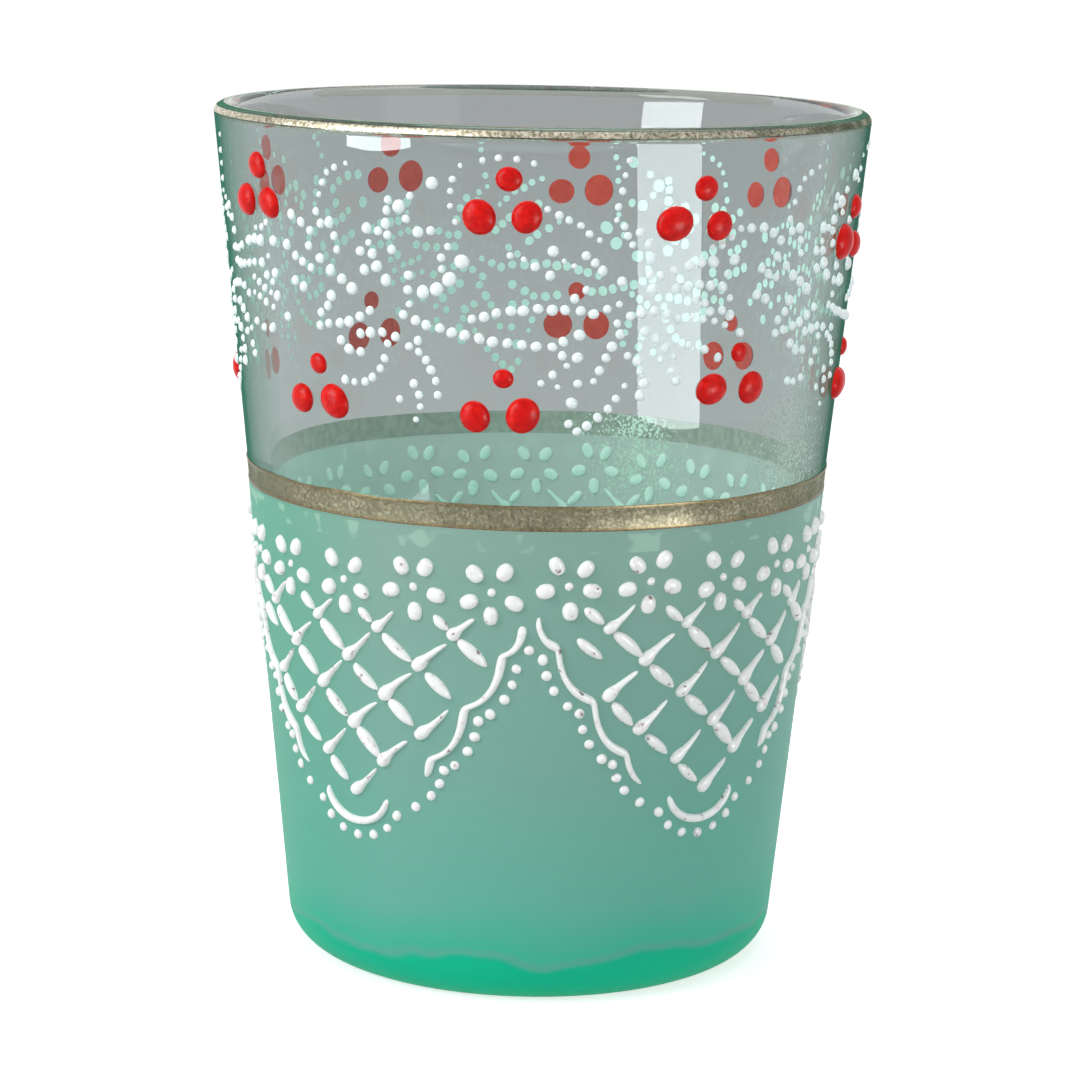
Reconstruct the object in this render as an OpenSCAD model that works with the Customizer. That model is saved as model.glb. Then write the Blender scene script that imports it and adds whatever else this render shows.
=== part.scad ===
// A Moroccan tea glass: a straight tapered tumbler with a green frosted coat on its lower half,
// two gold lustre bands, and raised enamel painted by hand on the outside.
// The origin is the middle of the foot, Z runs up the glass, and -Y is the side that is seen first.

/* [Glass] */
// Outer diameter at the rim
rim_d = 65; // [60:0.5:72]
// Height of the glass
height = 85; // [78:1:95]
// Outer diameter where the side meets the rounded foot
foot_d = 49.3; // [45:0.1:54]
// Thickness of the wall
wall = 2.2; // [1.6:0.1:3]
// Thickness of the solid base
floor_t = 7; // [5:0.5:10]
// Radius of the rounded foot
foot_r = 4; // [2.5:0.1:5.5]
// Radius inside, where the wall meets the floor
inner_r = 5; // [3:0.5:8]

/* [Coat] */
// Thickness of the green coat
coat_t = 0.1; // [0.05:0.05:0.2]

/* [Gold] */
// Thickness of the gold
gold_t = 0.05; // [0.04:0.01:0.1]
// How far round the lip the gold reaches, in degrees up from its outer side
lip_gold_turn = 100; // [90:5:150]
// Height at which the coat ends and the waist band starts
waist_z = 47.6; // [45:0.2:52]
// Width of the waist band
waist_band_h = 2.4; // [1.6:0.2:3.6]

/* [Berries] */
// Diameter of a full-size berry
berry_d = 2.9; // [2.2:0.1:3.2]
// Height of a full-size berry
berry_rise = 0.85; // [0.5:0.05:1.2]

/* [Dots] */
// Diameter of a full-size dot
dot_d = 1.05; // [0.8:0.05:1.2]
// Height of a full-size dot
dot_rise = 0.42; // [0.25:0.01:0.5]

/* [Blossoms] */
// Distance from the middle of a blossom to the middle of a petal
blossom_r = 2.35; // [2:0.05:2.6]
// Length of a petal
petal_l = 1.9; // [1.4:0.1:2.2]
// Width of a petal
petal_w = 1.7; // [1:0.05:1.8]
// Height of a petal
petal_rise = 0.45; // [0.25:0.05:0.7]
// Diameter of the dot in the middle of a blossom
centre_d = 0.8; // [0.5:0.05:1]

/* [Trellis] */
// Width of a slanted stroke of the trellis
stroke_w = 1.35; // [0.7:0.05:1.5]
// Width of the head of a drop on a crossing
drop_w = 1.45; // [1:0.05:1.6]
// Height of the strokes and drops
trellis_rise = 0.45; // [0.25:0.05:0.7]

/* [Scallops] */
// Width of the scalloped line
scallop_w = 0.7; // [0.4:0.05:0.8]
// Height of the scalloped line
scallop_rise = 0.35; // [0.2:0.05:0.6]
// Diameter of a pearl
pearl_d = 0.95; // [0.7:0.05:1.1]
// Distance from the scalloped line to the middle of a pearl
pearl_gap = 1.45; // [1.2:0.05:1.7]

/* [Hidden] */
$fn = 96;
// Each layer sits this far off the surface that carries it
seat = 0.02;
// Two pieces of enamel keep at least this much between them
enamel_gap = 0.12;

rim_r = rim_d / 2;
foot_line_r = foot_d / 2;
// Angle by which the side leans outwards
lean = atan((rim_r - foot_line_r) / (height - foot_r));
wall_flat = wall / cos(lean);
lip_r = wall / 2;
waist_top_z = waist_z + waist_band_h;
// How far the outside of the coat and of the gold stand off the glass
coat_top = seat + coat_t;
gold_top = seat + gold_t;
// The painter leaves this much of the glass free at the top
lip_free = 1.6;
// The clear zone that the dots and berries share
clear_h = height - lip_free - waist_top_z;

// Radius of the outer cone at height z
function side_r(z) = foot_line_r + (rim_r - foot_line_r) * (z - foot_r) / (height - foot_r);
function inside_r(z) = side_r(z) - wall_flat;
// Radius at height z of a cone that stands off the side by off
function off_side(off, z) = side_r(z) + off / cos(lean);
// Middle of a corner circle of radius r that touches the line side at height z
foot_x = foot_line_r - foot_r / cos(lean);
inner_z = floor_t + inner_r;
inner_x = inside_r(inner_z) - inner_r / cos(lean);
lip_z = height - lip_r;
lip_x = side_r(lip_z) - lip_r / cos(lean);

// Length along the wall that one degree of turn covers at height z
function per_degree(z) = side_r(z) * PI / 180;
// A point near the wall: turn in degrees from the front, height, and distance off the glass
function wall_point(turn, z, off) = [
    (side_r(z) + off * cos(lean)) * sin(turn),
    -(side_r(z) + off * cos(lean)) * cos(turn),
    z - off * sin(lean)
];
// Small steady wander from -1 to 1 that makes repeated strokes look hand made
function wander(seed) = sin(seed * 137 + 40 * sin(seed * 71));
function clear_z(share) = waist_top_z + clear_h * share;

// A low dome with a flat back, standing on the glass or on a layer of thickness off
module dome(turn, z, d, rise, off = 0) {
    ball_r = (d * d / 4 + rise * rise) / (2 * rise);
    rotate([0, 0, turn - 90])
        translate([off_side(off + seat, z), 0, z])
            rotate([0, 90 + lean, 0])
                rotate_extrude()
                    intersection() {
                        translate([0, rise - ball_r]) circle(ball_r);
                        square([d, 2 * rise]);
                    }
}

// A raised stroke on the coat. Each point of the path is [turn, height, width], and the two
// ends of the path are drawn out to a tip.
bead_sides = 5;
module bead(path, rise, full_w) {
    last = len(path) - 1;
    off = coat_top + seat;
    function ahead(i) = let (a = path[max(i - 1, 0)], b = path[min(i + 1, last)])
        [(b[0] - a[0]) * per_degree(path[i][1]), b[1] - a[1]];
    function ring(i) = let (
            p = path[i],
            way = ahead(i) / norm(ahead(i)),
            tall = rise * sqrt(p[2] / full_w)
        )
        [for (j = [0 : bead_sides - 1])
            let (phi = 180 * j / (bead_sides - 1), side = cos(phi) * p[2] / 2)
            wall_point(
                p[0] - side * way[1] / per_degree(p[1]), p[1] + side * way[0], off + tall * sin(phi)
            )
        ];
    function tip(i) = wall_point(path[i][0], path[i][1], off);
    points = [
        tip(0),
        for (i = [1 : last - 1]) each ring(i),
        tip(last)
    ];
    end = len(points) - 1;
    function at(i, j) = 1 + (i - 1) * bead_sides + j % bead_sides;
    sides = [0 : bead_sides - 1];
    faces = [
        for (j = sides) [0, at(1, j), at(1, j + 1)],
        for (i = [1 : last - 2]) for (j = sides) [at(i, j), at(i + 1, j), at(i, j + 1)],
        for (i = [1 : last - 2]) for (j = sides) [at(i, j + 1), at(i + 1, j), at(i + 1, j + 1)],
        for (j = sides) [end, at(last - 1, j + 1), at(last - 1, j)]
    ];
    polyhedron(points, faces);
}

// Width along a stroke, as [share of its length, share of its full width]
spindle_shares = [[0, 0], [0.1, 0.5], [0.3, 0.92], [0.52, 1], [0.75, 0.75], [0.93, 0.35], [1, 0]];
petal_shares = [[0, 0], [0.08, 0.55], [0.3, 0.95], [0.62, 1], [0.9, 0.62], [1, 0]];
drop_shares = [
    [0, 0], [0.05, 0.68], [0.15, 1], [0.27, 0.92], [0.38, 0.5], [0.62, 0.3], [0.94, 0.27], [1, 0]
];
// A straight stroke between two places [turn, height], bowed sideways by a share of its length
function stroke(a, b, w, shares, bow_share = 0) = let (
        dx = (b[0] - a[0]) * per_degree(a[1]),
        dz = b[1] - a[1]
    )
    [for (s = shares)
        let (bulge = 4 * s[0] * (1 - s[0]) * bow_share)
        [
            a[0] + (b[0] - a[0]) * s[0] - bulge * dz / per_degree(a[1]),
            a[1] + dz * s[0] + bulge * dx,
            w * s[1]
        ]
    ];

// Points along an arc about the middle c, from one angle to another
arc_steps = 12;
function arc(c, r, from, to, steps = arc_steps) = [
    for (i = [0 : steps])
        let (a = from + (to - from) * i / steps)
        c + r * [cos(a), sin(a)]
];
foot_c = [foot_x, foot_r];
inner_c = [inner_x, inner_z];
lip_c = [lip_x, lip_z];

// The glass itself: a rounded foot, a thick base, straight walls and a fire-polished lip.
module glass_tumbler() {
    color([0.82, 0.88, 0.86, 0.5])
        rotate_extrude()
            polygon([
                [0, 0],
                each arc(foot_c, foot_r, -90, -lean),
                each arc(lip_c, lip_r, -lean, 180 - lean),
                each arc(inner_c, inner_r, -lean, -90),
                [0, floor_t]
            ]);
}

// The green coat runs from the resting face round the foot and up to the waist band.
module green_coat() {
    // The coat is wiped off where it would reach below the resting face
    wiped = -asin(foot_r / (foot_r + coat_top));
    angles = [wiped, for (i = [1 : arc_steps])
        let (a = -90 + (90 - lean) * i / arc_steps)
        if (a > wiped) a
    ];
    color([0.3, 0.68, 0.56, 0.9])
        rotate_extrude()
            polygon([
                for (a = angles) foot_c + (foot_r + coat_top) * [cos(a), sin(a)],
                [off_side(coat_top, waist_z), waist_z],
                [off_side(seat, waist_z), waist_z],
                for (i = [1 : len(angles)])
                    let (a = angles[len(angles) - i])
                    foot_c + (foot_r + seat) * [cos(a), sin(a)]
            ]);
}

module gold_waist_band() {
    color([0.72, 0.6, 0.38])
        rotate_extrude()
            polygon([
                [off_side(seat, waist_z), waist_z],
                [off_side(gold_top, waist_z), waist_z],
                [off_side(gold_top, waist_top_z), waist_top_z],
                [off_side(seat, waist_top_z), waist_top_z]
            ]);
}

// The gold covers the outer half of the round lip and ends just past its crest.
module gold_lip_band() {
    color([0.72, 0.6, 0.38])
        rotate_extrude()
            polygon([
                each arc(lip_c, lip_r + gold_top, -lean, lip_gold_turn),
                each arc(lip_c, lip_r + seat, lip_gold_turn, -lean)
            ]);
}

// Berries hang in threes. Each bunch is [turn, height share], and each berry in a bunch is
// [turn from the bunch, distance below its top berry in berries, size share].
upper_bunch_shares = [
    [-57, 0.9], [-6, 0.91], [27.2, 0.885], [72, 0.79], [126, 0.85], [172, 0.82], [212, 0.86], [252, 0.88]
];
lower_bunch_shares = [
    [-43, 0.36], [-6.4, 0.36], [37.3, 0.42], [82, 0.36], [134, 0.33], [172, 0.39], [219, 0.37], [264, 0.35]
];
upper_berry_shares = [[0.6, 0, 0.84], [-4.3, 1.15, 1.12], [3.9, 1.25, 0.95]];
lower_berry_shares = [[0.2, 0, 0.66], [-4.8, 1.2, 1.02], [4, 1.25, 1.06]];

// Places of all berries of a row, as [turn, height, size share]
function berries(bunch_shares, berry_shares) = [
    for (b = [0 : len(bunch_shares) - 1])
        for (k = [0 : len(berry_shares) - 1])
            let (bunch = bunch_shares[b], berry = berry_shares[k], seed = 3 * b + k)
            [
                bunch[0] + berry[0] + 0.3 * wander(seed),
                clear_z(bunch[1]) - berry[1] * berry_d * (1 + 0.06 * wander(seed + 5)),
                berry[2] * (1 + 0.05 * wander(seed + 9))
            ]
];
upper_berry_places = berries(upper_bunch_shares, upper_berry_shares);
lower_berry_places = berries(lower_bunch_shares, lower_berry_shares);
berry_places = concat(upper_berry_places, lower_berry_places);

module berry_row(places) {
    color([0.86, 0.08, 0.08])
        for (p = places) dome(p[0], p[1], berry_d * p[2], berry_rise * p[2]);
}
module upper_berries() berry_row(upper_berry_places);
module lower_berries() berry_row(lower_berry_places);

// Strings of white dots. Each string runs through three places and is written as
// [turn, height share, turn, height share, turn, height share, dots, first and last size share].
vine_shares = [
    [-43.3, 0.69, -33, 0.578, -26, 0.54, 10, 0.88, 1.05],
    [-23.8, 0.522, -11.5, 0.472, 2.3, 0.45, 12, 0.85, 0.85],
    [-42.7, 0.735, -35.2, 0.758, -31.1, 0.642, 8, 0.85, 0.9],
    [-50, 0.775, -47.4, 0.772, -44.8, 0.757, 3, 0.9, 0.85],
    [-13.8, 0.508, -2.6, 0.552, 9.3, 0.545, 11, 0.8, 0.85],
    [7.7, 0.705, 15.5, 0.622, 25.8, 0.612, 11, 0.8, 0.85],
    [-62, 0.68, -55.5, 0.688, -49, 0.684, 7, 0.95, 1],
    [28.2, 0.62, 31, 0.605, 34.5, 0.575, 5, 0.8, 0.7]
];
leaf_shares = [
    [-37, 0.434, -34.6, 0.385, -36.6, 0.325, 5, 0.95, 0.8],
    [-34.4, 0.318, -29.6, 0.352, -27, 0.438, 6, 0.7, 0.7],
    [-34.9, 0.443, -30.4, 0.467, -25.6, 0.461, 5, 0.85, 0.8],
    [-39.5, 0.477, -34.8, 0.492, -30.5, 0.528, 5, 0.85, 0.85],
    [-39.5, 0.53, -41.4, 0.505, -41.8, 0.471, 3, 0.8, 0.75],
    [-47.4, 0.588, -43.2, 0.56, -38.7, 0.558, 5, 0.9, 1.05],
    [-32.6, 0.41, -32.6, 0.41, -32.6, 0.41, 1, 0.8, 0.8],
    [-22.9, 0.438, -19.3, 0.388, -17.8, 0.306, 6, 0.7, 0.7],
    [-21.2, 0.456, -20.2, 0.463, -19.2, 0.47, 2, 0.75, 0.7],
    [-22.2, 0.333, -21.2, 0.285, -22, 0.232, 4, 0.75, 0.5],
    [-25.2, 0.287, -25.2, 0.287, -25.2, 0.287, 1, 0.65, 0.65],
    [14, 0.486, 11.6, 0.42, 9.7, 0.355, 5, 0.85, 0.65],
    [6.8, 0.486, 5.5, 0.478, 4.3, 0.468, 2, 0.95, 0.85],
    [4, 0.426, 5.4, 0.424, 6.8, 0.423, 2, 0.85, 0.9],
    [4.8, 0.398, 2.6, 0.375, 0.4, 0.348, 3, 0.55, 0.65],
    [3.3, 0.338, 5.1, 0.347, 6.9, 0.351, 2, 0.55, 0.7],
    [6.9, 0.213, 11.5, 0.265, 15.2, 0.34, 6, 0.8, 0.6],
    [5.9, 0.293, 5.6, 0.266, 5.4, 0.238, 2, 1.05, 0.7],
    [15.4, 0.425, 17.3, 0.41, 19.4, 0.407, 3, 0.75, 0.95],
    [21.7, 0.41, 22.8, 0.414, 23.9, 0.42, 2, 0.75, 0.65],
    [17.9, 0.38, 18.7, 0.348, 18.2, 0.315, 3, 0.7, 0.95],
    [24, 0.378, 24.4, 0.363, 24.7, 0.348, 2, 0.7, 0.8],
    [27, 0.45, 30, 0.435, 33, 0.412, 3, 0.75, 0.75],
    [-57.3, 0.55, -53.2, 0.535, -50.6, 0.48, 5, 0.8, 0.85],
    [-55.6, 0.438, -53, 0.437, -50.3, 0.45, 4, 0.9, 0.95]
];
spray_shares = [
    [-30.3, 0.756, -29.2, 0.753, -28.1, 0.75, 2, 1.05, 0.8],
    [-30, 0.715, -29.1, 0.672, -27, 0.615, 4, 0.65, 1.1],
    [-26, 0.84, -26.5, 0.775, -25.7, 0.703, 5, 0.75, 0.8],
    [-23.9, 0.822, -23.4, 0.806, -22.9, 0.788, 2, 1.2, 0.75],
    [-18, 0.893, -20, 0.888, -22, 0.855, 3, 1.05, 0.65],
    [-20.6, 0.756, -22.5, 0.67, -22.7, 0.553, 7, 1, 0.7],
    [-18.3, 0.763, -18.3, 0.763, -18.3, 0.763, 1, 0.75, 0.75],
    [-20, 0.592, -16.5, 0.612, -13, 0.68, 4, 1.15, 1.25],
    [-60, 0.62, -56.5, 0.617, -53.3, 0.6, 4, 0.85, 0.9],
    [-54.6, 0.575, -54.6, 0.575, -54.6, 0.575, 1, 0.85, 0.85],
    [-47, 0.66, -45, 0.643, -43.2, 0.628, 3, 0.8, 0.8],
    [-41, 0.79, -39.2, 0.755, -37.3, 0.726, 3, 0.75, 0.85],
    [-36.9, 0.69, -36.9, 0.69, -36.9, 0.69, 1, 0.7, 0.7],
    [-34, 0.93, -38, 0.9, -40, 0.84, 5, 0.5, 0.55],
    [5.8, 0.585, 3.5, 0.628, -0.7, 0.672, 5, 0.8, 0.8],
    [-2.8, 0.69, -3.9, 0.698, -5, 0.703, 2, 0.6, 0.55],
    [2, 0.714, 1.8, 0.73, 1.5, 0.748, 2, 1, 0.9],
    [1, 0.828, 5.6, 0.793, 9.8, 0.745, 6, 0.65, 0.55],
    [3.9, 0.688, 4.8, 0.683, 5.7, 0.676, 2, 0.5, 0.5],
    [7.9, 0.608, 7.9, 0.608, 7.9, 0.608, 1, 0.75, 0.75],
    [11.5, 0.557, 12.5, 0.566, 13.5, 0.57, 2, 0.75, 0.65],
    [13.5, 0.516, 18.7, 0.547, 24.5, 0.525, 6, 0.75, 0.75],
    [18.5, 0.493, 20.4, 0.471, 22.3, 0.448, 3, 0.85, 0.9],
    [22, 0.496, 22, 0.496, 22, 0.496, 1, 1, 1],
    [16.7, 0.768, 18.6, 0.715, 18.8, 0.65, 4, 0.75, 0.8],
    [20.8, 0.65, 21.9, 0.655, 23, 0.66, 2, 0.75, 0.8],
    [14.2, 0.965, 13.2, 0.88, 12.4, 0.8, 5, 0.5, 0.55],
    [14, 0.785, 14.5, 0.757, 15.3, 0.735, 3, 0.6, 0.65],
    [-14.2, 0.79, -15, 0.87, -13.2, 0.94, 5, 0.5, 0.5],
    [-9.5, 0.96, -5.5, 0.965, -1.2, 0.955, 4, 0.55, 0.5],
    [-15.6, 0.72, -16.6, 0.69, -16.8, 0.655, 3, 0.6, 0.7],
    [28, 0.672, 30.8, 0.663, 33.5, 0.645, 4, 0.65, 0.6],
    [27.5, 0.575, 30.5, 0.562, 33.5, 0.54, 4, 0.65, 0.6],
    [27, 0.53, 30.5, 0.518, 34, 0.5, 4, 0.6, 0.65],
    [30, 0.72, 33, 0.735, 35.5, 0.77, 4, 0.55, 0.6]
];
// The strings are painted once for every part of the turn, as [turn, lift share]
repeat_shares = [[0, 0], [88, -0.006], [179, -0.08], [271, -0.003]];

// Place at share t of a string, on a curve through its three places
function on_string(s, t) = let (
        a = [s[0], s[1]],
        b = [s[4], s[5]],
        pull = 2 * [s[2], s[3]] - (a + b) / 2
    )
    a * (1 - t) * (1 - t) + pull * 2 * t * (1 - t) + b * t * t;
// Places of all dots of a set of strings, as [turn, height, size share]; a string swells midway
function dots(string_shares) = [
    for (r = [0 : len(repeat_shares) - 1])
        for (k = [0 : len(string_shares) - 1])
            let (s = string_shares[k], n = s[6])
            for (i = [0 : n - 1])
                let (t = n > 1 ? i / (n - 1) : 0, seed = 97 * r + 13 * k + i, p = on_string(s, t))
                [
                    p[0] + repeat_shares[r][0] + 0.12 * wander(seed),
                    clear_z(p[1] + repeat_shares[r][1] + 0.002 * wander(seed + 3)),
                    s[7] + (s[8] - s[7]) * t + 0.1 * sin(180 * t) + 0.06 * wander(seed + 7)
                ]
];
// Distance between two places, measured along the wall
function apart(p, q) = let (turn = (p[0] - q[0] + 900) % 360 - 180)
    norm([turn * per_degree(p[1]), p[1] - q[1]]);
// Whether a dot at p leaves room around every place of a list drawn with diameter d
function has_room(p, places, d) =
    len([for (q = places) if (apart(p, q) < (dot_d * p[2] + d * q[2]) / 2 + enamel_gap) q]) == 0;
function with_room(places, others, d) = [for (p = places) if (has_room(p, others, d)) p];
function in_order(places) = [
    for (i = [0 : len(places) - 1])
        if (has_room(places[i], [for (j = [0 : 1 : i - 1]) places[j]], dot_d)) places[i]
];
vine_places = in_order(with_room(dots(vine_shares), berry_places, berry_d));
leaf_places = in_order(
    with_room(with_room(dots(leaf_shares), berry_places, berry_d), vine_places, dot_d)
);
spray_places = in_order(
    with_room(
        with_room(dots(spray_shares), berry_places, berry_d), concat(vine_places, leaf_places), dot_d
    )
);

module dot_row(places) {
    color([0.93, 0.95, 0.96])
        for (p = places) dome(p[0], p[1], dot_d * p[2], dot_rise * p[2]);
}
module vine_dots() dot_row(vine_places);
module leaf_dots() dot_row(leaf_places);
module spray_dots() dot_row(spray_places);

// Five scalloped panels hang round the coat. Each is [middle turn, half its width in degrees,
// lift share of the waist height].
panel_shares = [
    [-40, 39.2, 0], [38.5, 39, 0.02], [112, 34.2, 0.034], [180.1, 33.8, 0.05], [247.3, 33, 0.03]
];
// A place on a panel, from a share of its half width and a share of the waist height
function on_panel(panel, across_share, height_share) =
    [panel[0] + panel[1] * across_share, waist_z * (height_share + panel[2])];
// A narrower panel has smaller strokes
function squeeze(panel) = panel[1] / panel_shares[0][1];

// Blossoms along the top of a panel, as shares of its half width
blossom_shares = [-0.82, -0.41, 0.01, 0.42, 0.815];
blossom_height_share = 0.872;
module each_blossom() {
    for (k = [0 : len(panel_shares) - 1])
        for (i = [0 : len(blossom_shares) - 1]) {
            $seed = 5 * k + i;
            $blossom = on_panel(
                panel_shares[k], blossom_shares[i], blossom_height_share + 0.004 * wander($seed)
            );
            $squeeze = squeeze(panel_shares[k]);
            children();
        }
}
petal_count = 5;
module blossom_petals() {
    color([0.93, 0.95, 0.93])
        each_blossom()
            for (j = [0 : petal_count - 1]) {
                angle = 54 + j * 360 / petal_count + 7 * wander($seed + 31 * j);
                reach = $squeeze * blossom_r * (1 + 0.04 * wander($seed + 17 * j));
                half = $squeeze * petal_l / 2;
                way = [cos(angle) / per_degree($blossom[1]), sin(angle)];
                width = $squeeze * petal_w * (1 + 0.08 * wander($seed + 23 * j));
                bead(
                    stroke(
                        $blossom + (reach - half) * way, $blossom + (reach + half) * way, width,
                        petal_shares, 0.05 * wander($seed + j)
                    ),
                    petal_rise, petal_w
                );
            }
}
module blossom_centres() {
    color([0.93, 0.95, 0.93])
        each_blossom()
            dome($blossom[0], $blossom[1], centre_d, centre_d * dot_rise / dot_d, coat_top);
}

// The trellis under the blossoms. Its crossings lie in rows, each a step below the last.
row_top_share = 0.782;
row_step_share = 0.071;
function crossing(panel, across_share, row) =
    on_panel(panel, across_share, row_top_share - row_step_share * row);
function between(a, b, share) = a + (b - a) * share;

// Strokes that run down to the right, as [from across, row, to across, start and end share of
// the way, width share]
stroke_shares = [
    [-0.83, -1, -0.62, 0.45, 0.84, 0.85], [-0.41, -1, -0.2, 0.48, 0.85, 0.85],
    [0, -1, 0.2, 0.55, 0.84, 0.7], [0.42, -1, 0.62, 0.52, 0.84, 0.75],
    [-0.83, 0, -0.6, 0.3, 0.8, 0.9],
    [-0.62, 0, -0.415, 0.18, 0.84, 1], [-0.2, 0, 0, 0.16, 0.84, 1.05],
    [0.2, 0, 0.43, 0.2, 0.82, 1], [0.62, 0, 0.83, 0.16, 0.78, 1.05],
    [-0.415, 1, -0.2, 0.18, 0.78, 1.05], [0, 1, 0.23, 0.24, 0.8, 0.95], [0.43, 1, 0.62, 0.24, 0.84, 0.95],
    [-0.6, 2, -0.43, 0.2, 0.8, 1], [-0.2, 2, 0.02, 0.2, 0.78, 0.95], [0.23, 2, 0.425, 0.16, 0.76, 1],
    [-0.43, 3, -0.2, 0.24, 0.76, 0.9], [0.02, 3, 0.2, 0.16, 0.82, 1.05],
    [-0.2, 4, 0, 0.2, 0.72, 0.85]
];
module trellis_strokes() {
    color([0.93, 0.95, 0.93])
        for (k = [0 : len(panel_shares) - 1])
            for (i = [0 : len(stroke_shares) - 1]) {
                s = stroke_shares[i];
                panel = panel_shares[k];
                a = crossing(panel, s[0], s[1]);
                b = crossing(panel, s[2], s[1] + 1);
                width = squeeze(panel) * stroke_w * s[5] * (1 + 0.08 * wander(19 * k + i));
                bead(
                    stroke(
                        between(a, b, s[3]), between(a, b, s[4]), width, spindle_shares,
                        0.06 * wander(11 * k + i)
                    ),
                    trellis_rise, stroke_w
                );
            }
}

// Drops with a heavy head on each crossing and a thin tail that runs up to the right, as
// [across, row, length share of the way to the next crossing, width share]
drop_place_shares = [
    [-0.62, 0, 0.66, 0.9], [-0.2, 0, 0.55, 0.8], [0.2, 0, 0.5, 0.95], [0.62, 0, 0.5, 0.95],
    [-0.415, 1, 0.72, 1], [0, 1, 0.78, 1.05], [0.43, 1, 0.74, 1],
    [-0.6, 2, 0.7, 0.95], [-0.2, 2, 0.78, 1], [0.23, 2, 0.78, 1.05],
    [-0.43, 3, 0.78, 1.05], [0.02, 3, 0.76, 1.05], [0.425, 3, 0.8, 1],
    [-0.2, 4, 0.76, 0.95], [0.2, 4, 0.72, 0.95],
    [0, 5, 0.76, 1]
];
across_step_share = 0.21;
module trellis_drops() {
    color([0.93, 0.95, 0.93])
        for (k = [0 : len(panel_shares) - 1])
            for (i = [0 : len(drop_place_shares) - 1]) {
                s = drop_place_shares[i];
                panel = panel_shares[k];
                a = crossing(panel, s[0], s[1]);
                b = crossing(panel, s[0] + across_step_share, s[1] - 1);
                width = squeeze(panel) * drop_w * s[3] * (1 + 0.06 * wander(23 * k + i));
                // The head is centred on the crossing
                back = -0.3 * width / norm([(b[0] - a[0]) * per_degree(a[1]), b[1] - a[1]]);
                bead(
                    stroke(
                        between(a, b, back), between(a, b, s[2]), width, drop_shares,
                        0.04 * wander(7 * k + i)
                    ),
                    trellis_rise, drop_w
                );
            }
}

// The scalloped edge climbs from the bottom of a panel in lobes, from cusp to cusp.
// Each cusp is [share across, height share].
cusp_shares = [[0.217, 0.426], [0.485, 0.521], [0.672, 0.634], [0.866, 0.746], [0.968, 0.806]];
bottom_share = 0.359;
lobes = len(cusp_shares) - 1;
// Place at angle t of lobe k, moved out by off; way is 1 on the right and -1 on the left
function on_lobe(panel, way, k, t, off) = let (
        a = on_panel(panel, way * cusp_shares[k][0], cusp_shares[k][1]),
        b = on_panel(panel, way * cusp_shares[k + 1][0], cusp_shares[k + 1][1]),
        off_turn = way * off / per_degree(a[1])
    )
    [a[0] + (b[0] - a[0] + off_turn) * sin(t), b[1] - (b[1] - a[1] + off) * cos(t)];
function on_bottom(panel, t, off) = let (
        end = on_panel(panel, cusp_shares[0][0], cusp_shares[0][1]),
        low = on_panel(panel, 0, bottom_share)
    )
    [
        low[0] + (end[0] - low[0] + off / per_degree(low[1])) * sin(t),
        end[1] - (end[1] - low[1] + off) * cos(t)
    ];
// The line swells towards one end of each lobe, as [angle, width share]: the lower end on the left
// of a panel, and the upper end on the right
lobe_shares = [
    [[6, 1.35], [28, 1.15], [50, 0.8], [70, 0.7], [88, 0.8]],
    [[6, 0.65], [28, 0.7], [50, 0.85], [70, 1.15], [88, 1.35]]
];
bottom_line_shares = [
    [-88, 0], [-80, 0.8], [-62, 1], [-42, 1.15], [-21, 1.2], [0, 1.15], [21, 1.1], [42, 1], [62, 0.9],
    [80, 0.75], [88, 0]
];
// The line is painted with a short break above the bottom lobe, longer on the right
break_angles = [28, 60];
module scallop_line() {
    color([0.93, 0.95, 0.93])
        for (panel = panel_shares) {
            line_w = scallop_w * squeeze(panel);
            bead(
                [for (s = bottom_line_shares)
                    let (p = on_bottom(panel, s[0], 0)) [p[0], p[1], line_w * s[1]]
                ],
                scallop_rise, scallop_w
            );
            for (way = [-1, 1]) {
                hand = way > 0 ? 1 : 0;
                break = break_angles[hand];
                first = on_lobe(panel, way, 0, break - 8, 0);
                bead(
                    [
                        [first[0], first[1], 0],
                        for (k = [0 : lobes - 1])
                            for (s = lobe_shares[hand])
                                if (k > 0 || s[0] > break)
                                    let (p = on_lobe(panel, way, k, s[0], 0)) [p[0], p[1], line_w * s[1]],
                        let (p = on_lobe(panel, way, lobes - 1, 96, 0)) [p[0], p[1], 0]
                    ],
                    scallop_rise, scallop_w
                );
            }
        }
}

// Pearls follow the scalloped edge outside it, and one sits in the notch between two panels.
pearl_angles = [30, 50, 65, 79];
bottom_pearl_angles = [-66, -44, -22, 0, 22, 44, 66];
notch_height_share = 0.758;
module pearl(p, seed) {
    d = pearl_d * (1 + 0.08 * wander(seed));
    dome(p[0], p[1], d, d * dot_rise / dot_d, coat_top);
}
module scallop_pearls() {
    color([0.93, 0.95, 0.93])
        for (i = [0 : len(panel_shares) - 1]) {
            panel = panel_shares[i];
            for (t = bottom_pearl_angles) pearl(on_bottom(panel, t, pearl_gap), t + i);
            for (way = [-1, 1])
                for (k = [0 : lobes - 2])
                    for (t = pearl_angles) pearl(on_lobe(panel, way, k, t, pearl_gap), t * k + i + way);
            pearl(on_panel(panel, 1, notch_height_share), i);
        }
}

glass_tumbler();
green_coat();
gold_lip_band();
gold_waist_band();
upper_berries();
lower_berries();
vine_dots();
leaf_dots();
spray_dots();
blossom_petals();
blossom_centres();
trellis_strokes();
trellis_drops();
scallop_line();
scallop_pearls();
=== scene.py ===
import math
import random

import bmesh
import bpy
from mathutils import Matrix, Vector, noise


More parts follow.
